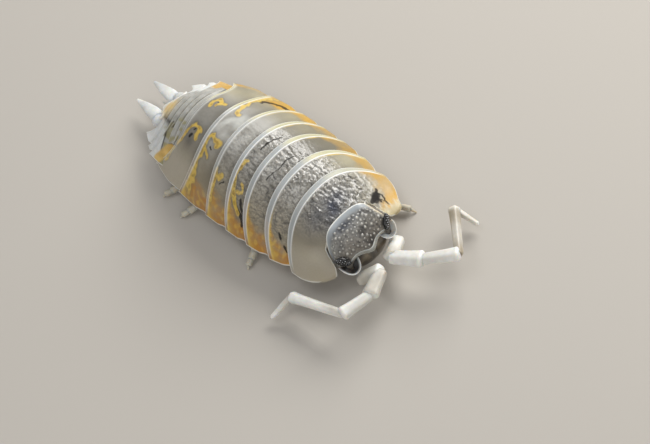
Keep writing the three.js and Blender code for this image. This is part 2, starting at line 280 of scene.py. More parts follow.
def over(paint, *coats):
    """Lays coats of colour over the paint, each as far as its cover goes at each point."""
    for colour, cover in coats:
        paint = paint + (colour - paint) * np.clip(cover, 0, 1)[..., None]
    return paint


def stroke(points, path, width):
    """1 on a drawn line through places seen from above, falling to 0 at its edge."""
    nearest = np.full(points.shape[:-1], 1e9)
    for start, way in zip(np.array(path), np.diff(path, axis=0)):
        t = np.clip(((points[..., :2] - start) @ way) / (way @ way), 0, 1)
        gap = np.linalg.norm(points[..., :2] - (start + t[..., None] * way), axis=-1)
        nearest = np.minimum(nearest, gap)
    return 1 - rise(0.5, 1, nearest / width)


def skin_mesh(name, points, faces, tint, gloss=0.38, crease=0.12):
    """A smooth mesh whose points carry their own colour, roughness and depth of creases."""
    mesh = bpy.data.meshes.new(name)
    mesh.from_pydata(to_scene(points), [], faces)
    mesh.polygons.foreach_set("use_smooth", np.ones(len(mesh.polygons), bool))
    layer = mesh.color_attributes.new("tint", "FLOAT_COLOR", "POINT")
    rgba = np.ones((len(points), 4), np.float32)
    rgba[:, :3] = tint
    layer.data.foreach_set("color", rgba.ravel())
    for label, values in (("gloss", gloss), ("crease", crease)):
        field = mesh.attributes.new(label, "FLOAT", "POINT")
        field.data.foreach_set("value", np.broadcast_to(values, len(points)).astype(np.float32))
    mesh.update()
    piece = bpy.data.objects.new(name, mesh)
    scene.collection.objects.link(piece)
    return piece


def sheet_of_skin(name, top, under, tint, gloss=0.38, crease=0.12):
    """Closes an upper and a lower grid of the same size into one thin solid."""
    count = top[..., 0].size
    at = np.arange(count).reshape(top.shape[:2])
    upper = np.stack([at[:-1, :-1], at[:-1, 1:], at[1:, 1:], at[1:, :-1]], -1).reshape(-1, 4)
    border = np.concatenate([at[0], at[1:, -1], at[-1, -2::-1], at[-2:0:-1, 0]])
    nxt = np.roll(border, -1)
    edge = np.stack([border, border + count, nxt + count, nxt], -1)
    faces = np.concatenate([upper, upper[:, ::-1] + count, edge])
    points = np.concatenate([top.reshape(-1, 3), under.reshape(-1, 3)])
    gloss, crease = (np.tile(np.broadcast_to(f, at.shape).ravel(), 2) for f in (gloss, crease))
    return skin_mesh(name, points, faces, np.tile(tint.reshape(-1, 3), (2, 1)), gloss, crease)


def horn_material(name, grain_size, soak, wet):
    """Horny skin in the colours of its own points, creased and wet where its points say so."""
    horn = bpy.data.materials.new(name)
    horn.use_nodes = True
    tree = horn.node_tree
    node, link = tree.nodes.new, tree.links.new
    shader = tree.nodes["Principled BSDF"]
    told = {}
    for label in ("tint", "gloss", "crease"):
        told[label] = node("ShaderNodeAttribute")
        told[label].attribute_name = label
    place = node("ShaderNodeTexCoord")
    grain = node("ShaderNodeTexNoise")
    tune(grain, {"Scale": 1 / (grain_size * MM), "Detail": 3})
    link(place.outputs["Object"], grain.inputs["Vector"])
    spread = node("ShaderNodeMapRange")
    tune(spread, {"From Min": 0.3, "From Max": 0.7, "To Min": 0.35, "To Max": 1.4})
    link(grain.outputs["Fac"], spread.inputs["Value"])
    shade = node("ShaderNodeMix")
    shade.data_type = "RGBA"
    shade.blend_type = "MULTIPLY"
    link(told["crease"].outputs["Fac"], shade.inputs["Factor"])
    link(told["tint"].outputs["Color"], shade.inputs[6])
    link(spread.outputs["Result"], shade.inputs[7])
    link(shade.outputs[2], shader.inputs["Base Color"])
    link(told["gloss"].outputs["Fac"], shader.inputs["Roughness"])
    bump = node("ShaderNodeBump")
    tune(bump, {"Distance": 0.03 * MM})
    link(told["crease"].outputs["Fac"], bump.inputs["Strength"])
    link(told["crease"].outputs["Fac"], shader.inputs["Coat Weight"])
    link(grain.outputs["Fac"], bump.inputs["Height"])
    link(bump.outputs["Normal"], shader.inputs["Normal"])
    tune(shader, {"Subsurface Weight": soak, "Subsurface Radius": (1.0, 0.8, 0.6),
                  "Subsurface Scale": 0.25 * MM, "Coat Roughness": wet, "IOR": 1.5})
    return horn


def fit(piece, horn, part):
    piece.data.materials.append(horn)
    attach(piece, "root")
    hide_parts(part)


FLESH = hue(178, 176, 169)
FLESH_SHADE = hue(98, 94, 82)
RIGHT_SHADE_WARM = hue(158, 145, 114)
FLESH_LEFT = hue(180, 172, 140)
BLUE_SHADE = hue(66, 72, 88)
BAND_CLEAR = hue(186, 193, 196)
BAND_LEFT = hue(208, 200, 138)
BAND_LINE = hue(253, 254, 251)
AMBER = hue(188, 128, 38)
YELLOW = hue(204, 158, 42)
YELLOW_LINE = hue(224, 192, 92)
OCHRE = hue(168, 136, 66)
LOBE_CLEAR = hue(182, 174, 156)
LOBE_CREAM = hue(204, 194, 160)
SHEEN_PALE = hue(228, 230, 224)
SMOKE = hue(28, 25, 24)
RIM_WHITE = hue(248, 248, 240)

# How each plate is marked: how rough its middle is and between which shares of the half width,
# how many grains it has and how large, how wide its rear band is, from which share on the amber
# shows on the right and on the left, and how far painted shade dims the sheen on its left
mark_names = ("rough", "spread", "grains", "band", "amber", "left_shade")
plate_marks = [dict(zip(mark_names, marks)) for marks in (
    (1.0, (-0.6, 0.84), (330, 0.1), 0.33, (1.3, 0.86), 0.05),
    (0.9, (-0.88, 0.66), (300, 0.07), 0.33, (0.88, 0.88), 0.1),
    (0.8, (-0.88, 0.6), (280, 0.06), 0.31, (0.87, 0.84), 0.75),
    (0.7, (-0.86, 0.54), (240, 0.055), 0.27, (0.86, 0.9), 0.45),
    (0.4, (-0.8, 0.3), (120, 0.05), 0.23, (0.84, 0.88), 0.2),
    (0.1, (-0.7, 0.3), (0, 0.05), 0.25, (0.84, 0.74), 0.35),
    (0.05, (-0.7, 0.3), (0, 0.05), 0.2, (1.3, 0.99), 0.15))]
# Squiggles of yellow flesh seen through the skin, as places from above, on the plates they mark
yellow_lines = {
    3: [([(-0.9, 1.6), (-1.54, 1.72), (-2.1, 1.68), (-2.5, 1.5), (-2.8, 1.2), (-3.05, 0.95)], 0.12),
        ([(-2.35, 1.28), (-2.2, 1.1), (-2.02, 1.12), (-1.95, 1.25)], 0.08)],
    4: [([(-2.0, 3.0), (-2.4, 3.02), (-2.78, 3.0), (-3.2, 3.05)], 0.12),
        ([(-2.3, 2.75), (-2.15, 2.6)], 0.1)],
    5: [([(-3.2, 4.85), (-2.9, 4.68), (-2.6, 4.6)], 0.2),
        ([(-2.6, 4.6), (-2.07, 4.56), (-1.76, 4.42)], 0.13),
        ([(-1.9, 4.5), (-1.52, 4.42), (-1.3, 4.44), (-1.05, 4.5), (-0.8, 4.26)], 0.11),
        ([(-0.8, 4.26), (-0.92, 4.02), (-0.95, 3.75), (-0.93, 3.58), (-1.2, 3.72)], 0.12),
        ([(-1.52, 4.42), (-1.7, 4.15), (-1.8, 4.0)], 0.1),
        ([(3.4, 4.95), (2.9, 4.72), (2.45, 4.62)], 0.17),
        ([(2.45, 4.62), (1.71, 4.4), (1.2, 4.3), (0.92, 4.16), (0.86, 4.0)], 0.11)],
    6: [([(-1.95, 6.6), (-1.65, 6.42), (-1.31, 6.19), (-0.94, 6.06), (-0.78, 5.84)], 0.1),
        ([(-0.78, 5.84), (-0.88, 5.5), (-0.95, 5.36)], 0.13),
        ([(-0.9, 5.5), (-1.2, 5.5), (-1.4, 5.44)], 0.1),
        ([(0.5, 6.05), (0.85, 6.12), (1.15, 6.02), (1.0, 5.62), (0.7, 5.75)], 0.1),
        ([(-2.92, 7.72), (-2.72, 7.36), (-2.45, 7.03), (-2.2, 6.84)], 0.1),
        ([(1.0, 5.62), (1.0, 5.36)], 0.09)],
}
# Dark stains, where the gut and old scars show
dark_lines = {
    0: [([(2.45, -4.1), (2.2, -4.3)], 0.1), ([(2.25, -4.28), (1.95, -4.58)], 0.2),
        ([(2.1, -4.4), (1.74, -4.52)], 0.13), ([(2.08, -4.5), (2.1, -4.74)], 0.12),
        ([(2.3, -4.25), (2.44, -4.4), (2.36, -4.68), (2.3, -4.92)], 0.045),
        ([(2.15, -4.6), (2.3, -4.84)], 0.04)],
    1: [([(-2.55, -1.9), (-2.75, -2.1)], 0.06), ([(-2.9, -2.3), (-3.0, -2.55)], 0.05)],
    2: [([(-1.1, 0.02), (-0.6, -0.1), (-0.1, -0.16), (0.35, -0.1), (0.8, -0.22)], 0.04),
        ([(-0.6, -0.1), (-0.75, -0.32)], 0.03), ([(0.1, -0.14), (0.15, -0.4)], 0.03)],
    3: [([(-2.72, 1.3), (-2.84, 1.1), (-3.0, 0.85), (-3.2, 0.55)], 0.14),
        ([(-2.5, 1.0), (-2.75, 0.85), (-2.95, 0.6)], 0.1),
        ([(0.0, 1.4), (0.5, 1.32), (0.9, 1.3), (1.3, 1.2)], 0.04), ([(0.5, 1.32), (0.45, 1.1)], 0.03)],
    4: [([(-2.5, 2.6), (-2.3, 2.4)], 0.05)],
    5: [([(2.5, 4.38), (2.92, 4.2), (3.18, 3.9), (3.32, 3.5)], 0.13),
        ([(-1.45, 3.9), (-1.35, 4.1)], 0.06)],
    6: [([(-0.96, 5.74), (-1.02, 5.8)], 0.08), ([(-1.3, 5.78), (-1.42, 5.88)], 0.08),
        ([(0.95, 5.85), (1.05, 5.75)], 0.07)],
}

margins = [margin(c, m) for c, m in zip(MARGIN_CORNERS, MARGIN_MIDDLES)]
margins[0].update(skew=FIRST_SKEW, blunt=FIRST_ROUND)
front_margins = [margins[0]] + [behind(m, PLATE_GAP) for m in margins[1:7]]
horn_rough = horn_material("horn_rough", 0.1, soak=0.3, wet=0.14)
horn_smooth = horn_material("horn_smooth", 0.2, soak=0.4, wet=0.3)


def roll_edges(points, distances, radius, bead):
    """Rounds a plate's free edges downwards and raises a fine bead beside them."""
    nearest = np.minimum.reduce(distances)
    over_edge = np.clip(1 - nearest / radius, 0, 1)
    lowered = points.copy()
    lowered[..., 2] -= 0.5 * SKIN * (1 - np.sqrt(1 - over_edge**2))
    lowered[..., 2] += bead * bell(nearest - radius, radius * 0.8)
    return lowered


def underside(bare, top, thick):
    """The lower face of a plate, which stays below its upper face."""
    under = top.copy()
    under[..., 2] = np.minimum(bare[..., 2] - thick, top[..., 2] - 0.001)
    return under


def rounded(share, start):
    """How far a round corner draws back, from 0 at its start to 1 at the end of its edge."""
    t = np.clip((share - start) / (1 - start), 0, 1)
    return 1 - np.sqrt(1 - t * t)


def shape_first_lobes(bare, u, v):
    """The left lobe cups the eye, the right one is a broad flap, and both end round."""
    ahead = (1 - v) ** 2
    corner = (1 - v) ** 6
    cup = bell(u - 0.9, np.where(u < 0.9, 0.17, 0.09))
    cup = mix(cup * ahead, corner, (1 - cup) * (u > 0.9))
    bare[..., 0] += rise(0.7, 1, u) * mix(0.2, 0.1, v) - 0.39 * cup
    bare[..., 1] -= (0.22 * rise(0.66, 0.84, u) - 0.54 * rounded(u, 0.8)) * ahead
    bare[..., 2] -= 0.21 * cup
    fuller = 0.16 * bell(v - 0.13, 0.11) - 0.2 * (1 - v) ** 16
    bare[..., :2] += (fuller * rise(0.82, 1, u))[..., None] * [1, -1]
    bare[..., 0] -= rise(0.7, 1, -u) * mix(0.19, 0.14, v)
    bare[..., 1] -= (0.84 * rise(0.7, 0.87, -u) - 0.79 * rounded(-u, 0.77)) * ahead
    bare[..., :2] += (0.2 * rise(0.8, 1, -u) * corner)[..., None]


def rough_middle(number, marks, bare, u, past_band):
    """Grains, wrinkles and cracks on the middle of a plate, in front of its smooth band."""
    right_end, left_end = marks["spread"]
    body = rise(0.0, 0.14, past_band)
    body = body * rise(right_end - 0.1, right_end + 0.3, u) * rise(left_end + 0.12, left_end - 0.3, u)
    rough = body * marks["rough"]
    patchy = mix(0.55, 1.25, rise(-0.5, 0.7, waves(bare, 0.6, 25 + number) + 0.6 * rise(-0.6, 0.2, u)))
    cracks = bell(waves(bare, 0.28, 20 + number, (0.8, 1.4, 1)), 0.11) * rough
    relief = rough * patchy * 0.03 * waves(bare, 0.16, 10 + number, (0.7, 1.6, 1)) - 0.016 * cracks
    grains, grain_size = marks["grains"]
    for _ in range(grains):
        seat = (draw.integers(6, len(bare) - 20), draw.integers(20, COLUMNS - 20))
        size = grain_size * draw.uniform(0.6, 1.35)
        away = np.sum((bare - bare[seat]) ** 2, -1)
        relief += rough * patchy * 0.6 * size * np.exp(-away / (0.42 * size) ** 2 / 2)
    return rough, cracks, relief


def flesh_colours(number, marks, bare, u, v, rough, cracks):
    """The flesh under a plate's skin: grey, yellower on the left, darker in cracks, with painted shade
    and warm bounce light on the right, painted shade at the front and on the left, and a painted sheen
    on the fifth and sixth plates.
    """
    first = number == 0
    cloud = waves(bare, 0.7, 30 + number)
    fine = waves(bare, 0.12, 50 + number, (0.7, 1.9, 1))
    # Painted shade on the front of each plate, where it lies under the rear edge of the plate ahead
    shade_under_lap = 0.35 * rise(0.3, -0.05, v) * rise(0.9, 0.6, np.abs(u)) * (not first)
    tint = over(
        FLESH,
        # painted shade and warm bounce light, which make the right side darker and browner
        (RIGHT_SHADE_WARM, rise(-0.15, -0.8, u) * 0.8),
        (FLESH_LEFT, rise(0.3, 0.75, u) * (0.35 if first else 0.85)),
        (FLESH_SHADE, 0.2 + 0.2 * cloud + 0.45 * fine * rough),
        # painted shade, which dims the window's sheen on the left
        (FLESH_SHADE, marks["left_shade"] * rise(0.1, 0.5, u)),
        (FLESH_SHADE, shade_under_lap))
    if first:
        dusk = bell(u + 0.08, 0.4) * bell(v - 0.3, 0.32)
        tint = over(
            tint,
            (BLUE_SHADE, dusk * (0.95 + 0.5 * waves(bare, 0.4, 61))),
            (FLESH_SHADE, 0.3 * rise(0.2, -0.4, u) * rise(-0.85, -0.6, u)),
            (LOBE_CLEAR, rise(-0.62, -0.9, u) * (0.75 + 0.25 * cloud)))
    if number == 6:
        gut = bell(bare[..., 0] + 1.65, 0.3) * bell(bare[..., 1] - 5.75, 0.36)
        tint = over(
            tint,
            (FLESH_SHADE, 0.4 * rise(0.55, 0.2, np.abs(u))),
            (LOBE_CLEAR, rise(-0.5, -0.8, u)),
            (SMOKE, gut * (0.5 + 0.3 * cloud)))
    # A painted sheen: pale soft clouds of light on the middle of the fifth and sixth plates
    if number in (4, 5):
        painted_sheen = bell(u - 0.12, 0.26) * rise(-0.5, 0.6, waves(bare, 0.5, 240, (1, 0.6, 1)))
        tint = over(tint, (SHEEN_PALE, painted_sheen * (0.15 if number == 4 else 0.6)))
    return over(tint, (SMOKE, cracks * 0.55))


def amber_sides(tint, number, marks, bare, u, past_band):
    """Amber flesh in the side lobes, streaked with yellow and reaching up beside the rear band."""
    cloud = waves(bare, 0.7, 30 + number)
    ragged = 0.03 * waves(bare, 0.3, 70 + number) + 0.012 * waves(bare, 0.12, 80 + number)
    by_band = np.exp(-np.maximum(past_band, 0) / 0.3)
    right_side, left_side = marks["amber"]
    amber_right = rise(right_side - 0.06, right_side + 0.08, -u + ragged + 0.24 * by_band)
    amber_left = rise(left_side - 0.08, left_side + 0.06, u + ragged + 0.1 * by_band)
    in_band = rise(0.02, -0.02, past_band)
    mottle = waves(bare, 0.2, 230 + number)
    streaky = waves(bare, 0.22, 250 + number, (1.6, 0.7, 1))
    pale_left = 0.68 if number in (1, 2, 3) else 1.0
    tint = over(
        tint,
        (AMBER, amber_right * (1 - 0.35 * in_band) * (0.8 + 0.25 * cloud + 0.2 * mottle)),
        (YELLOW_LINE, amber_right * rise(0.0, 0.9, streaky) * (1 - in_band) * 0.45),
        (YELLOW_LINE, amber_right * by_band * (0.7 + 0.3 * mottle) * (1 - in_band)),
        (YELLOW, amber_left * (1 - 0.4 * in_band) * (0.85 + 0.25 * cloud) * pale_left))
    if number == 0:
        fine = waves(bare, 0.12, 50, (0.7, 1.9, 1))
        tip = rise(0.68, 0.8, u) * rise(-4.85, -5.2, bare[..., 1] + 0.15 * fine)
        tint = over(tint, (LOBE_CREAM, tip * 0.85))
    if 1 <= number <= 5:
        beside = bell(past_band - 0.07, 0.05)
        wavering = 0.6 + 0.5 * waves(bare, 0.25, 90 + number)
        tint = over(
            tint,
            (YELLOW_LINE, beside * rise(-0.45, -0.8, u) * wavering),
            (YELLOW_LINE, beside * rise(0.35, 0.65, u) * wavering * 0.8))
    return tint


def drawn_lines(tint, number, bare):
    """The yellow squiggles and dark stains, and where the stains lie."""
    wobble = np.stack([waves(bare, 0.3, 210), waves(bare, 0.3, 211)], -1)
    tremble = np.stack([waves(bare, 0.1, 212), waves(bare, 0.1, 213)], -1)
    wander = bare[..., :2] + 0.05 * wobble + 0.02 * tremble
    frayed = 1.1 + 0.4 * waves(bare, 0.25, 200 + number)
    stain = np.zeros(bare.shape[:2])
    for path, width in yellow_lines.get(number, []):
        tint = over(tint, (FLESH_SHADE, stroke(wander, path, width * 2.2) * 0.35))
    for path, width in dark_lines.get(number, []):
        dark = stroke(wander, path, width * frayed)
        stain = np.maximum(stain, dark)
        tint = over(tint, (SMOKE, dark * 0.9))
    for path, width in yellow_lines.get(number, []):
        line = stroke(wander, path, width * frayed * 1.2)
        inside = stroke(wander, path, width * frayed * 0.8) * rise(-0.1, 0.6, waves(bare, 0.14, 220))
        tint = over(tint, (YELLOW_LINE, line * 0.9), (OCHRE, inside * 0.75))
    return tint, stain


def band_and_rims(tint, number, u, from_rear, past_band, from_edge):
    """The clear rear band between two bright lines, fainter on the last plates, and the rims."""
    strong, line = (1.0, 0.04) if number < 4 else ((0.65, 0.055) if number < 6 else (0.35, 0.07))
    in_band = rise(0.02, -0.02, past_band)
    fades = rise(1, 0.9, np.abs(u)) * strong * mix(1, 0.55, rise(0.5, 0.9, -u))
    return over(
        tint,
        (BAND_CLEAR, in_band * rise(1.0, 0.9, np.abs(u)) * 0.65 * strong),
        (BAND_LEFT, in_band * rise(0.15, 0.4, u) * (0.6 if number else 0.3)),
        (BAND_LINE, bell(past_band, line) * 0.95 * fades),
        (BAND_LINE, bell(from_rear, 0.06) * 0.75 * max(strong, 0.5)),
        (RIM_WHITE, rise(0.06, 0.02, from_edge) * 0.75))


for number, marks in enumerate(plate_marks):
    first = number == 0
    middle = [(0, 0.06, 12), (0.06, 0.9, 60)] if first else [(TUCKED, 0.9, 66)]
    u, v = np.meshgrid(across_plate(COLUMNS), along_plate(*middle, (0.9, LAPPED, 26)))
    reach, bulge = v, 0.0
    if first:
        # Its front margin runs under the head's collar
        reach = v - 0.13 * rise(0.82, 0.66, -u) * (1 - v) ** 2
        bulge = FIRST_BULGE * mix(1, 0.25, rise(-0.2, 0.6, u))
    bare = arch(front_margins[number], margins[number + 1], u, reach, tuck=0.025, bulge=bulge)
    if first:
        shape_first_lobes(bare, u, v)
    free = free_edges(bare)
    from_rear = free[0]
    if first:
        # The rim also runs along the front of both lobes
        free = [from_rear] + [border_distance(bare, border) for border in (
            bare[:, 0], bare[:, -1], bare[0, u[0] < -0.62], bare[0, u[0] > 0.72])]
    from_edge = np.minimum.reduce(free)
    past_band = from_rear - marks["band"] * mix(1, 0.75, rise(0.5, 0.95, np.abs(u)))
    rough, cracks, relief = rough_middle(number, marks, bare, u, past_band)
    groove = bell(past_band, 0.035) * rise(1, 0.95, np.abs(u))
    trough = rise(0.0, 0.08, -past_band) * rise(0.03, 0.1, from_rear)
    top = roll_edges(bare, free, EDGE_ROLL, 0.015)
    top[..., 2] += relief + 0.022 * groove - 0.016 * trough
    thick = mix(SKIN, SKIN_DEEP, rise(0.1, 1.2, from_edge)) * np.sqrt(np.clip(from_edge / 0.06, 0, 1))
    tint = flesh_colours(number, marks, bare, u, v, rough, cracks)
    tint = amber_sides(tint, number, marks, bare, u, past_band)
    tint, stain = drawn_lines(tint, number, bare)
    tint = band_and_rims(tint, number, u, from_rear, past_band, from_edge)
    gloss = mix(mix(0.44, 0.26, rough), 0.85, stain)
    crease = (0.06 + 0.7 * rough) * (1 - stain)
    name = f"trunk_plate_{number + 1}"
    plate = sheet_of_skin(name, top, underside(bare, top, thick), tint, gloss, crease)
    fit(plate, horn_rough if marks["rough"] > 0.3 else horn_smooth, f"pereonite_{number + 1}")

# Belly: the soft pale underside of each ring, which closes the body between the side lobes and
# carries the legs.
BODY_SIDE, BODY_SLOPE, BODY_DEPTH = 0.66, 0.12, 0.2
BELLY_HEIGHT, BELLY_SHARE = 2.05, 0.35
soft_skin = horn_material("soft_skin", 0.3, soak=0.5, wet=0.3)
BELLY_TINT = hue(190, 182, 162)


def belly(name, front, rear, tuck, lean, bulge=0.0):
    """The body of one ring, from just under its plate down to the level of the belly."""
    u, v = np.meshgrid(np.linspace(-1, 1, 61) * (BODY_SIDE + BODY_SLOPE), np.linspace(0, 1.04, 24))
    top = arch(front, rear, u, v, tuck=tuck, bulge=bulge, lean=lean)
    top[..., 2] -= BODY_DEPTH
    rim = mix(front["rim"], rear["rim"], v)
    height = mix(front["height"], rear["height"], v)
    floor_level = np.minimum(BELLY_HEIGHT, rim + BELLY_SHARE * height)
    inside = 1 - rise(BODY_SIDE, BODY_SIDE + BODY_SLOPE, np.abs(u))
    under = top.copy()
    dip = 0.1 * np.cos(v * 2 * np.pi) * inside
    under[..., 2] = mix(top[..., 2] - 0.05, np.minimum(floor_level + dip, top[..., 2] - 0.05), inside)
    tint = over(BELLY_TINT, (FLESH_SHADE, 0.25 + 0.2 * waves(under, 0.5, 95)))
    return sheet_of_skin(name, top, under, tint, 0.5, 0.3)


for number, front in enumerate(front_margins):
    bulge = FIRST_BULGE if number == 0 else 0.0
    ring = belly(f"trunk_belly_{number + 1}", front, margins[number + 1], 0.05, 0.0, bulge)
    fit(ring, soft_skin, f"pereonite_{number + 1}")

# Tail shell: five short rings behind the trunk. The first two lie between the corners of the
# seventh plate; the other three end on each side in a clear pointed lobe that spreads outwards.
TAIL_GAP = 0.2
TAIL_LEAN = -0.1
TAIL_LIP, TAIL_SPREAD = 0.3, -0.14
tail_rings = [
    dict(middle=6.95, corner=7.2, width=2.1, arch_width=3.2),
    dict(middle=7.42, corner=7.6, width=2.1, arch_width=3.05),
    dict(middle=7.92, corner=8.62, width=2.8, front_corner=8.28, front_width=3.0),
    dict(middle=8.42, corner=9.12, width=2.42, front_corner=8.8, front_width=2.62),
    dict(middle=8.92, corner=9.85, width=1.8, front_corner=9.3, front_width=2.25),
]
TAIL_FLESH = hue(184, 184, 178)
TAIL_BAND = hue(196, 199, 196)
OLIVE = hue(166, 158, 110)
MILK = hue(234, 236, 233)
PATCH_YELLOW = hue(236, 202, 126)


def yellow_patch(points):
    """The spot of yellow flesh at the root of the telson, as a share of cover."""
    return 1.5 * bell(points[..., 0] + 0.48, 0.5) * bell(points[..., 1] - 9.15, 0.5)


ahead = margins[7]
for number, ring in enumerate(tail_rings):
    rear = margin(ring["corner"], ring["middle"], ring.get("arch_width", ring["width"]))
    if "arch_width" in ring:
        rear = inner(rear, ring["width"])
    if "front_corner" in ring:
        front = margin(ring["front_corner"], ahead["middle"] + TAIL_GAP, ring["front_width"])
    else:
        front = inner(behind(ahead, TAIL_GAP), min(ring["width"], ahead["width"] * 0.99))
    u, v = np.meshgrid(across_plate(200), along_plate((-0.6, 0.85, 38), (0.85, 1.08, 14)))
    spread = TAIL_SPREAD if number > 1 else 0.0
    bare = arch(front, rear, u, v, tuck=0.02, lean=TAIL_LEAN, lip=TAIL_LIP, droop=spread)
    third = number == 2
    if third:
        # It reaches forward under the corners of the seventh plate
        bare[..., 1] -= 0.85 * rise(0.42, 0.75, np.abs(u)) * (1 - v)
    free = free_edges(bare)
    from_rear = free[0]
    if number < 2:
        free = [from_rear]
    from_edge = np.minimum.reduce(free)
    top = roll_edges(bare, free, EDGE_ROLL, 0.012)
    thick = mix(0.1, 0.25, rise(0.1, 0.8, from_edge)) * np.sqrt(np.clip(from_edge / 0.05, 0, 1))
    streaks = waves(bare, 0.35, 90 + number, (0.5, 2.0, 1))
    tint = over(
        TAIL_FLESH,
        # darker streaks, and painted shade on the front of each ring, under the ring ahead
        (FLESH_SHADE, 0.1 + 0.16 * streaks + 0.12 * rise(0.25, 0.0, v)),
        # painted shadows in two dark slits in the gaps between the rings on the right
        (SMOKE, stroke(bare, [(-1.05, 7.45), (-1.42, 7.64)], 0.07) * 0.8),
        (SMOKE, stroke(bare, [(-1.15, 7.72), (-1.6, 7.85)], 0.07) * 0.8),
        (OLIVE, rise(0.3, 0.5, -u) * rise(-0.3, 0.4, streaks) * 0.8))
    if number > 1:
        edge_of_lobe = (0.66 if third else 0.52) + 0.03 * streaks
        lobes = rise(edge_of_lobe - 0.06, edge_of_lobe + 0.08, np.abs(u))
        # Painted shadow along the gap between the ring's middle and its clear lobe on the right
        hollow = bell(u + edge_of_lobe - 0.07, 0.05) * rise(7.75, 7.95, bare[..., 1])
        tint = over(
            tint,
            (MILK, lobes * rise(7.8, 7.95, bare[..., 1]) * 0.92),
            (YELLOW, third * lobes * rise(0.2, 0.7, u) * 0.9),
            (SMOKE, hollow * 0.75))
    if third:
        # Painted shadow in the slit under the rear edge ahead, on the right
        slit_shadow = bell(bare[..., 1] - 7.9, 0.05)
        corner_flesh = stroke(bare, [(-2.95, 8.0), (-2.5, 7.55), (-2.2, 7.2)], 0.3)
        tint = over(
            tint,
            (SMOKE, slit_shadow * rise(0.55, 0.65, -u) * rise(0.9, 0.8, -u)),
            (YELLOW, corner_flesh * 0.9),
            (PATCH_YELLOW, corner_flesh * (0.55 + 0.5 * streaks)))
    tint = over(
        tint,
        (PATCH_YELLOW, yellow_patch(bare)),
        (TAIL_BAND, rise(0.12, 0.04, from_rear) * 0.6),
        (RIM_WHITE, rise(0.06, 0.02, from_edge) * 0.8))
    plate = sheet_of_skin(f"tail_plate_{number + 1}", top, underside(bare, top, thick), tint, 0.4)
    fit(plate, horn_smooth, f"pleonite_{number + 1}")
    under_ring = belly(f"tail_belly_{number + 1}", front, rear, 0.02, TAIL_LEAN)
    fit(under_ring, soft_skin, f"pleonite_{number + 1}")
    ahead = rear

# Telson: the last small three-cornered plate of milky horn, smooth and yellow at its root. It
# closes the back, with its front edge under the last tail ring.
TELSON_WIDTH, TELSON_TIP, TELSON_TIP_HEIGHT = 1.05, 10.2, 1.12
TELSON_POINT, TELSON_DEEP = 0.14, 0.35
telson_front = inner(behind(ahead, TAIL_GAP), TELSON_WIDTH)
u, v = np.meshgrid(np.linspace(-1, 1, 70), np.linspace(-0.12, 1, 70))
half = mix(TELSON_WIDTH, TELSON_POINT, np.clip(v, 0, 1) ** 0.62)
y = mix(margin_y(telson_front, u), TELSON_TIP, v)
z = mix(back_height(telson_front["middle"]) - 0.1, TELSON_TIP_HEIGHT, v) - 0.25 * u * u * (1 - v)
bare = np.stack([u * half + TAIL_LEAN * (y - 7), y, z], -1)
free = free_edges(bare)
from_edge = np.minimum.reduce(free)
top = roll_edges(bare, free, EDGE_ROLL, 0.01)
under = underside(bare, top, TELSON_DEEP * np.sqrt(np.clip(from_edge / 0.2, 0, 1)))
tint = over(
    MILK,
    (PATCH_YELLOW, yellow_patch(bare) * (1.0 + 0.3 * waves(bare, 0.3, 97))),
    (RIM_WHITE, rise(0.06, 0.02, from_edge) * 0.7))
telson = sheet_of_skin("telson_plate", top, under, tint, 0.4)
fit(telson, horn_smooth, "telson")

# Tail spikes: two milky uropods, each a short foot beside the telson, a broad flattened outer
# spike and a small slender inner one under the telson.
UROPOD_ROOT = (0.68, 9.95, 0.95)
UROPOD_TIP = (0.68, 12.1, 0.78)
UROPOD_TURN = 0.36
SPIKE_SHADE = hue(150, 158, 162)
SIDES = (("left", 1), ("right", -1))


def ring_faces(rings, around, flip=False):
    """Quads between rings of points, each of which closes on itself."""
    r, c = np.meshgrid(np.arange(rings - 1), np.arange(around), indexing="ij")
    a, b = r * around + c, r * around + (c + 1) % around
    corners = [a, a + around, b + around, b] if flip else [a, b, b + around, a + around]
    return np.stack(corners, -1).reshape(-1, 4).tolist()


def tube(path, radii, around=24, flat=1.0, flat_way=(0, 0, 1), keels=0.0):
    """Points and faces of a closed limb along a path, round or with five faint keels."""
    way = np.gradient(path, axis=0)
    way /= np.linalg.norm(way, axis=-1, keepdims=True)
    side = np.cross(way, flat_way)
    side /= np.linalg.norm(side, axis=-1, keepdims=True) + 1e-9
    lift_way = np.cross(side, way)
    turn = np.linspace(0, 2 * np.pi, around, endpoint=False)
    reach = radii[:, None, None] * (1 + keels * np.cos(5 * turn))[:, None]
    rings = path[:, None] + reach * (
        side[:, None] * np.cos(turn)[:, None] + flat * lift_way[:, None] * np.sin(turn)[:, None])
    points = np.concatenate([rings.reshape(-1, 3), path[:1], path[-1:]])
    end = (len(path) - 1) * around
    first, last = end + around, end + around + 1
    caps = [[first, (c + 1) % around, c] for c in range(around)]
    caps += [[last, end + c, end + (c + 1) % around] for c in range(around)]
    return points, ring_faces(len(path), around) + caps


def joined(parts):
    """Several closed forms as one list of points and faces."""
    points, faces, start = [], [], 0
    for p, f in parts:
        points.append(p)
        faces += [[i + start for i in face] for face in f]
        start += len(p)
    return np.concatenate(points), faces


def swept(a, b, stations, steps=26, bow=(0, 0, 0), **kind):
    """A limb from a to b whose half thickness follows the stations, rounded at both ends."""
    a, b = np.asarray(a, float), np.asarray(b, float)
    t = (1 - np.cos(np.linspace(0, np.pi, steps))) / 2
    radii = np.interp(t, *zip(*stations))
    length = np.linalg.norm(b - a)
    end = np.minimum(t * length, (1 - t) * length)
    radii = radii * np.sqrt(np.clip(1 - (1 - np.clip(end / (0.6 * radii + 1e-6), 0, 1)) ** 2, 0.0004, 1))
    path = a + t[:, None] * (b - a) + np.sin(np.pi * t)[:, None] * bow
    return tube(path, radii, **kind)


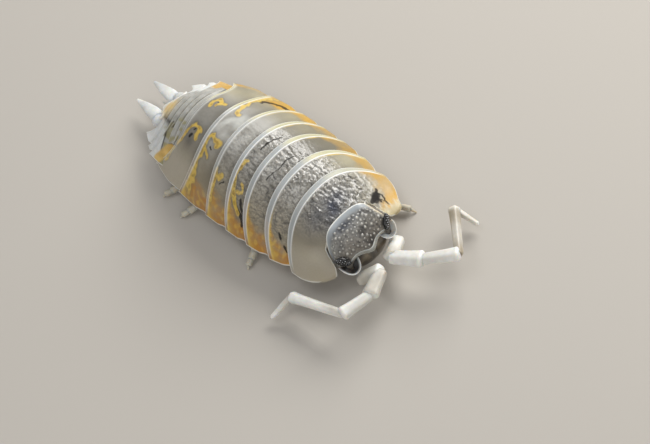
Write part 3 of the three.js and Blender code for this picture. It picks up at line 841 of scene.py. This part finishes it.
def ball(centre, half, turn=np.eye(3), down=24, around=36):
    """Points and faces of an egg, a little blunt at both ends of its third axis."""
    blunt = 0.02
    theta, phi = np.meshgrid(np.linspace(blunt, np.pi - blunt, down),
                             np.linspace(0, 2 * np.pi, around, endpoint=False), indexing="ij")
    p = np.stack([np.sin(theta) * np.cos(phi), np.sin(theta) * np.sin(phi), np.cos(theta)], -1)
    p = (p * half @ turn.T).reshape(-1, 3) + centre
    ends = [list(range(around)), [(down - 1) * around + c for c in reversed(range(around))]]
    return p, ring_faces(down, around, flip=True) + ends


milk_horn = horn_material("milk_horn", 0.25, soak=0.7, wet=0.3)
for side, sign in SIDES:
    def bent(x, y, z, turned=0.0):
        return (sign * x + TAIL_LEAN * (y - 7) + turned, y, z)
    root = bent(*UROPOD_ROOT)
    foot = swept(bent(0.85, 9.2, 1.0), bent(0.8, 10.25, 0.94),
                 [(0, 0.36), (0.6, 0.44), (1, 0.32)], flat=0.6)
    spike = swept((root[0], root[1] - 0.15, root[2]), bent(*UROPOD_TIP, UROPOD_TURN),
                  [(0, 0.3), (0.12, 0.38), (0.35, 0.37), (0.65, 0.25), (0.9, 0.12), (1, 0.06)],
                  steps=40, around=32, flat=0.42, bow=(0, 0, 0.06))
    inner_spike = swept(bent(0.3, 9.7, 0.75), bent(0.28, 10.75, 0.72),
                        [(0, 0.13), (0.5, 0.12), (1, 0.04)], flat=0.8)
    points, faces = joined([foot, spike, inner_spike])
    tint = over(MILK, (SPIKE_SHADE, 0.22 + 0.25 * waves(points, 0.5, 7)))
    piece = skin_mesh(f"tail_spike_{side}", points, faces, tint, 0.42)
    fit(piece, milk_horn, f"uropod_{side}")

# Head: a dark horny dome sunk into the first plate, turned a little to the animal's right, with
# pale round grains on its top and a clear collar round its rear.
HEAD_PLACE = (-0.21, -5.61, 0)
HEAD_TURN = math.radians(-4.3)
HEAD_WIDTH, HEAD_REAR, HEAD_FRONT = 1.84, 1.26, -0.4
HEAD_TOP, HEAD_FOREHEAD, HEAD_CHEEK, HEAD_UNDER = 3.15, 2.1, 1.45, 1.2
HEAD_POWER = 5.2
BOW_DEPTH, BOW_WIDTH = 0.34, 0.42
COLLAR_WIDTH, GRAIN_ROOM = 0.45, 0.19
HEAD_GREY, HEAD_BROWN, HEAD_BLUE = hue(156, 155, 149), hue(112, 100, 84), hue(66, 74, 90)
HEAD_DARK, HEAD_PIT, GRAIN_PALE = hue(64, 62, 60), hue(40, 40, 42), hue(232, 231, 222)
COLLAR_CLEAR, CREAM_WITH_PAINTED_LIGHT = hue(176, 184, 190), hue(244, 232, 204)
head_frame = np.array([
    [math.cos(HEAD_TURN), -math.sin(HEAD_TURN), 0],
    [math.sin(HEAD_TURN), math.cos(HEAD_TURN), 0],
    [0, 0, 1]])


def on_head(points):
    """Places in the head's own frame, brought to the body."""
    return points @ head_frame.T + HEAD_PLACE


def dome(u, v):
    """The head's upper side, from its bowed forehead, v = 0, to its rear."""
    half = HEAD_WIDTH * mix(0.88, 1, rise(0, 0.3, v)) * mix(1, 0.96, rise(0.5, 1, v))
    height = mix(HEAD_FOREHEAD, HEAD_TOP, np.sin(np.minimum(v * 1.4, 1) * np.pi / 2))
    brow = HEAD_FRONT - BOW_DEPTH * bell(u * half, BOW_WIDTH)
    rear = HEAD_REAR - 0.3 * u * u - np.where(u > 0, 0.36 * np.abs(u) ** 5, 0.45 * np.abs(u) ** 8)
    square = HEAD_POWER + rise(0, 0.6, u)
    z = mix(HEAD_CHEEK, height, np.clip(1 - np.abs(u) ** square, 0, 1) ** 0.9)
    return np.stack([u * half, mix(brow, rear, v), z], -1)


u, v = np.meshgrid(across_plate(260), np.linspace(0, 1.03, 150))
local = dome(u, v)
bare = on_head(local)
from_rear = edge_distance(bare, 0, True)
open_top = rise(0.28, 0.5, from_rear)
mottle = waves(bare, 0.35, 121)
relief = (0.012 * waves(bare, 0.2, 120) + 0.008 * waves(bare, 0.09, 122)) * open_top
tint = over(
    HEAD_GREY,
    (HEAD_BROWN, rise(0.6, 0.05, v) * 0.6),
    (HEAD_DARK, (0.22 + 0.6 * mottle) * rise(0.1, 0.3, v)),
    (HEAD_PIT, rise(0.15, 0.8, waves(bare, 0.13, 126)) * 0.55 * open_top),
    (HEAD_BLUE, rise(0.4, 0.75, v) * (0.3 + 0.5 * waves(bare, 0.5, 123))),
    (SMOKE, bell(local[..., 0] - 0.3, 0.32) * bell(v - 0.05, 0.12) * 0.95))
grain_seats = []
for _ in range(1100):
    seat = (draw.integers(8, 140), draw.integers(34, 226))
    here = bare[seat]
    crowded = any(np.sum((here - g) ** 2) < GRAIN_ROOM**2 for g in grain_seats)
    if from_rear[seat] < COLLAR_WIDTH or crowded:
        continue
    grain_seats.append(here)
    size = draw.uniform(0.045, 0.1)
    away = np.sum((bare - here) ** 2, -1)
    relief += 0.65 * size * np.exp(-away / (0.55 * size) ** 2 / 2)
    shows = draw.uniform(0.35, 1.0)
    tint = over(
        tint,
        (GRAIN_PALE, np.exp(-away / (0.45 * size) ** 2 / 2) * shows),
        (SMOKE, bell(np.sqrt(away) - 1.2 * size, 0.03) * 0.25))
tint = over(
    tint,
    (COLLAR_CLEAR, rise(0.6, 0.1, from_rear) * 0.85),
    (RIM_WHITE, rise(0.12, 0.03, from_rear) * 0.9),
    # on the dome's left end, cream skin with painted light that lifts the shade cast by the first
    # plate's lobe
    (CREAM_WITH_PAINTED_LIGHT, rise(0.72, 0.84, u) * rise(0.4, 0.6, v) * 0.9))
top = bare.copy()
top[..., 2] += relief + 0.012 * bell(from_rear - 0.06, 0.04)
under = bare.copy()
under[..., 2] = mix(HEAD_UNDER, HEAD_CHEEK - 0.05, u * u)
head = sheet_of_skin("head_dome", top, under, tint, 0.3, 0.35 * open_top)
fit(head, horn_rough, "head")

# Forehead ridge and face: a thin pale fold of clear horn hangs from the bowed forehead, and under
# it the face is a rounded swelling of softer brown skin, painted darker with the shade of the forehead.
FACE_PLACE, FACE_HALF = (0, -0.3, 1.36), (1.15, 0.38, 0.74)
RIDGE_GREY, RIDGE_PALE = hue(150, 150, 142), hue(226, 228, 222)
FACE_BROWN_SHADED, FACE_PALE = hue(86, 74, 58), hue(168, 158, 136)
brow = dome(np.linspace(-0.74, 0.74, 80), np.zeros(80))
deep = np.linspace(0, 1, 14)[:, None, None]
wide = np.sin(np.linspace(0.2, np.pi - 0.2, 80))[:, None] ** 0.7
ribbon = brow + [0, -0.02, 0.03] + deep * wide * [0, -0.13, -0.16]
ribbon[..., 1] -= 0.04 * np.sin(deep[..., 0] * np.pi)
edges = np.maximum(rise(0.8, 0.95, deep), 0.5 * rise(0.2, 0.05, deep))[..., 0]
tint = over(RIDGE_GREY, (RIDGE_PALE, np.broadcast_to(edges, ribbon.shape[:2])))
ridge = sheet_of_skin("forehead_ridge", on_head(ribbon), on_head(ribbon + [0, 0.06, -0.05]), tint, 0.3)
fit(ridge, milk_horn, "head")

points, faces = ball(FACE_PLACE, FACE_HALF, down=40, around=60)
points = on_head(points)
tint = over(
    # brown skin, painted as dark as it looks in the shade under the forehead
    FACE_BROWN_SHADED,
    (FACE_PALE, 0.12 + 0.5 * waves(points, 0.3, 124)),
    (SMOKE, 0.5 * waves(points, 0.2, 125)))
face = skin_mesh("face", points, faces, tint, 0.35, 0.6)
fit(face, soft_skin, "head")

# Head lobes: a thin clear lobe of horn curls forward under each eye like half a dish, dark in its
# hollow and white along its rim.
LOBE_MIDDLE, LOBE_RIM, LOBE_THICK = (1.33, -0.27), 1.6, 0.09
LOBE_GREY = hue(180, 184, 184)
# Of each lobe: its half sizes, and between which shares of its reach the dark hollow ends
lobe_kinds = {"left": ((0.54, 0.56), (0.5, 0.3)), "right": ((0.58, 0.72), (0.9, 0.74))}
for side, sign in SIDES:
    half, hollow = lobe_kinds[side]
    turn, out = np.meshgrid(np.radians(np.linspace(176, 372, 80)), np.linspace(0.3, 1, 30))
    cup = np.stack([
        sign * (LOBE_MIDDLE[0] + half[0] * out * np.cos(turn)),
        LOBE_MIDDLE[1] + half[1] * out * np.sin(turn),
        LOBE_RIM + 0.3 * np.abs(np.cos(turn)) ** 3 - 0.17 * (1 - out**2)], -1)
    bare = on_head(cup)[:, ::sign]
    under = bare.copy()
    under[..., 2] -= LOBE_THICK * np.sqrt(np.clip((1 - out) / 0.1, 0.02, 1))
    tint = over(
        LOBE_GREY, (SMOKE, rise(*hollow, out) * 0.95), (RIM_WHITE, rise(0.88, 0.97, out) * 0.8))
    lobe = sheet_of_skin(f"head_lobe_{side}", bare, under, tint, 0.35, 0.05)
    fit(lobe, milk_horn, "head")

# Eyes: a long raised black oval on each side of the head, with rows of tiny round beads of shining
# horn close together all over it. A painted glint whitens the top of the beads in the columns
# that face the light.
EYE_PLACE, EYE_HALF = (1.53, -0.22, 2.14), np.array([0.16, 0.27, 0.43])
EYE_ROWS, BEADS_A_ROW, BEAD = 10, 5, 0.045
BEAD_BLACK, PAINTED_GLINT = hue(6, 6, 7), hue(190, 192, 194)
eye_skin = horn_material("eye_skin", 0.1, soak=0.0, wet=0.1)
for side, sign in SIDES:
    long_way = unit(np.array([sign * 0.6, 0.56, 0.56]))
    outwards = np.array([sign * 0.8, -0.5, 0.35])
    outwards = unit(outwards - long_way * (outwards @ long_way))
    axes = np.stack([outwards, np.cross(long_way, outwards), long_way], -1)
    centre = np.array([sign * EYE_PLACE[0], *EYE_PLACE[1:]])
    parts = [ball(centre, EYE_HALF * 0.94, axes)]
    glint_masks = [np.zeros(len(parts[0][0]), bool)]
    for row in range(EYE_ROWS):
        tall = math.cos(math.pi * (row + 0.5) / EYE_ROWS)
        for k in range(BEADS_A_ROW):
            spin = math.radians(-72 + 32 * k + 16 * (row % 2))
            ring_size = math.sqrt(1 - tall * tall)
            bead = np.array([ring_size * math.cos(spin), ring_size * math.sin(spin), tall])
            bead = (bead * EYE_HALF * 0.95) @ axes.T + centre
            parts.append(ball(bead, (BEAD, BEAD, BEAD), down=8, around=10))
            # Painted glints: a pale spot on top of each bead in the columns that face the light
            has_glint = k in ((1, 2) if sign > 0 else (2, 3))
            glint_masks.append((parts[-1][0][:, 2] > bead[2] + 0.8 * BEAD) & has_glint)
    points, faces = joined(parts)
    glint_cover = np.concatenate(glint_masks).astype(float)
    tint = over(BEAD_BLACK, (PAINTED_GLINT, glint_cover))
    eye = skin_mesh(f"eye_beads_{side}", on_head(points), faces, tint, gloss=0.2, crease=0.6)
    fit(eye, eye_skin, f"eye_{side}")

# Feelers: two elbowed antennae of clear milky horn. Each is a short base, three longer articles
# and a blunt whip, every one seated in the widened end of the one before it.

# The joints from the head outwards
feeler_joints = {
    "left": [(1.02, -6.56, 0.98), (0.12, -7.16, 1.35), (0.92, -8.83, 1.7), (2.2, -10.25, 1.8),
             (4.22, -7.75, 1.05), (4.46, -9.11, 0.42)],
    "right": [(-1.5, -6.58, 1.0), (-0.84, -7.35, 1.45), (-2.2, -7.92, 1.6), (-3.88, -7.53, 1.7),
              (-4.62, -4.2, 1.1), (-6.02, -3.77, 0.42)],
}
# The name of each article, its half height and how much wider than high it is
feeler_articles = (("base", 0.38, 1.25), ("article_3", 0.35, 1.3), ("article_4", 0.31, 1.25),
                   ("article_5", 0.26, 1.12), ("flagellum", 0.17, 1.0))
WHIP = 4
# How thick an article and the whip are along their length, as shares of the half height
article_swell = ((0, 0.74), (0.2, 0.84), (0.6, 0.9), (0.85, 1), (0.94, 1.1), (1, 1.04))
whip_swell = ((0, 1), (0.3, 1), (0.55, 0.94), (0.6, 0.84), (0.93, 0.78), (1, 0.3))
clear_horn = horn_material("clear_horn", 0.3, soak=0.85, wet=0.25)
FEELER_PALE, FEELER_DIM = hue(238, 239, 234), hue(164, 154, 134)
CUFF_WHITE = hue(246, 246, 240)
# How far the dim colour covers each article, from the base outwards: partly brownish flesh near the
# base, partly painted shade on the articles that the lamps light most
flesh_and_painted_shade = {"left": (0.5, 0.0, 0.0, 0.85, 0.2), "right": (0.45, 0.4, 0.15, 0.15, 0.1)}
for side, joints in feeler_joints.items():
    for k, (article, radius, wide) in enumerate(feeler_articles):
        a, b = np.array(joints[k]), np.array(joints[k + 1])
        way = unit(b - a)
        start = a - way * (radius * 0.4 if k else 0.4)
        end = b + way * (radius * 0.35 if k < WHIP else 0)
        swell = article_swell if k < WHIP else whip_swell
        stations = [(where, share * radius * wide) for where, share in swell]
        points, faces = swept(start, end, stations, steps=60, around=40, flat=1 / wide, keels=0.05)
        outwards = np.clip((points - start) @ way / np.linalg.norm(end - start), 0, 1)
        veins = waves(points, 0.4, 140 + k, tuple(1 + 2.5 * np.abs(way)))
        tint = over(
            FEELER_PALE,
            (FEELER_DIM, flesh_and_painted_shade[side][k] + 0.3 * veins),
            (CUFF_WHITE, rise(0.86, 0.97, outwards) * 0.7))
        piece = skin_mesh(f"feeler_{side}_{article}", points, faces, tint, 0.34)
        fit(piece, clear_horn, f"antenna_{side}_{article}")

# Legs: seven pairs, folded under the shell. Each has six articles that swell towards their far
# ends, bends at a knee, and stands on its claw.
LEG_ROOT, LEG_REACH = 0.5, 3.5
LEG_SWING = (-1.3, -0.8, -0.45, 0.1, 0.5, 1.0, 1.15)
# Feet set one by one, as seen from above; the others stand under the edge of the shell
leg_shown = {"right_1": (-2.3, -4.5), "right_2": (-2.85, -2.4), "right_3": (-4.6, -0.42),
             "right_6": (-4.53, 5.02), "right_7": (-4.17, 6.78), "left_1": (3.2, -5.6)}
# The joints, by share of the leg's reach and by height, and each article's half thickness
leg_stations = [(0, 1.8), (0.1, 1.42), (0.42, 0.84), (0.62, 0.46), (0.79, 0.33), (0.93, 0.26),
                (1, 0.03)]
leg_sizes = (0.32, 0.29, 0.24, 0.21, 0.18, 0.09)
CLAW = 5
LEG_PALE = hue(206, 202, 186)
LEG_BEND = (0.55, 0.08)
for side, sign in SIDES:
    for number, front in enumerate(front_margins):
        rear = margins[number + 1]
        root_y = float(margin_y(front, LEG_ROOT) + margin_y(rear, LEG_ROOT)) / 2
        root = np.array([sign * LEG_ROOT * min(front["width"] + 0.6, rear["width"]), root_y])
        foot_y = root_y + LEG_SWING[number]
        hidden = (sign * min(LEG_REACH, float(shell_width(foot_y)) - 0.1), foot_y)
        foot = np.array(leg_shown.get(f"{side}_{number + 1}", hidden))
        bend = mix(root, foot, np.array(LEG_BEND))
        spine = [np.array([*mix(mix(root, bend, t), mix(bend, foot, t), t), height])
                 for t, height in leg_stations]
        parts = []
        for k, size in enumerate(leg_sizes):
            a, b = spine[k], spine[k + 1]
            way = unit(b - a)
            a = a - way * size * 0.5
            b = b + way * size * (0.4 if k < CLAW else 0)
            stations = [(0, size * 0.8), (0.8, size), (1, size * 0.9)]
            if k == CLAW:
                stations = [(0, size), (0.5, size * 0.8), (1, size * 0.4)]
            parts.append(swept(a, b, stations, steps=24, around=20, flat_way=(0.3, 0.2, 1)))
        points, faces = joined(parts)
        points[:, 2] = np.maximum(points[:, 2], 0.0)
        tint = over(LEG_PALE, (FEELER_DIM, 0.2 + 0.25 * waves(points, 0.4, 160 + number)))
        leg = skin_mesh(f"walking_leg_{side}_{number + 1}", points, faces, tint, 0.4)
        fit(leg, clear_horn, f"leg_{side}_{number + 1}")
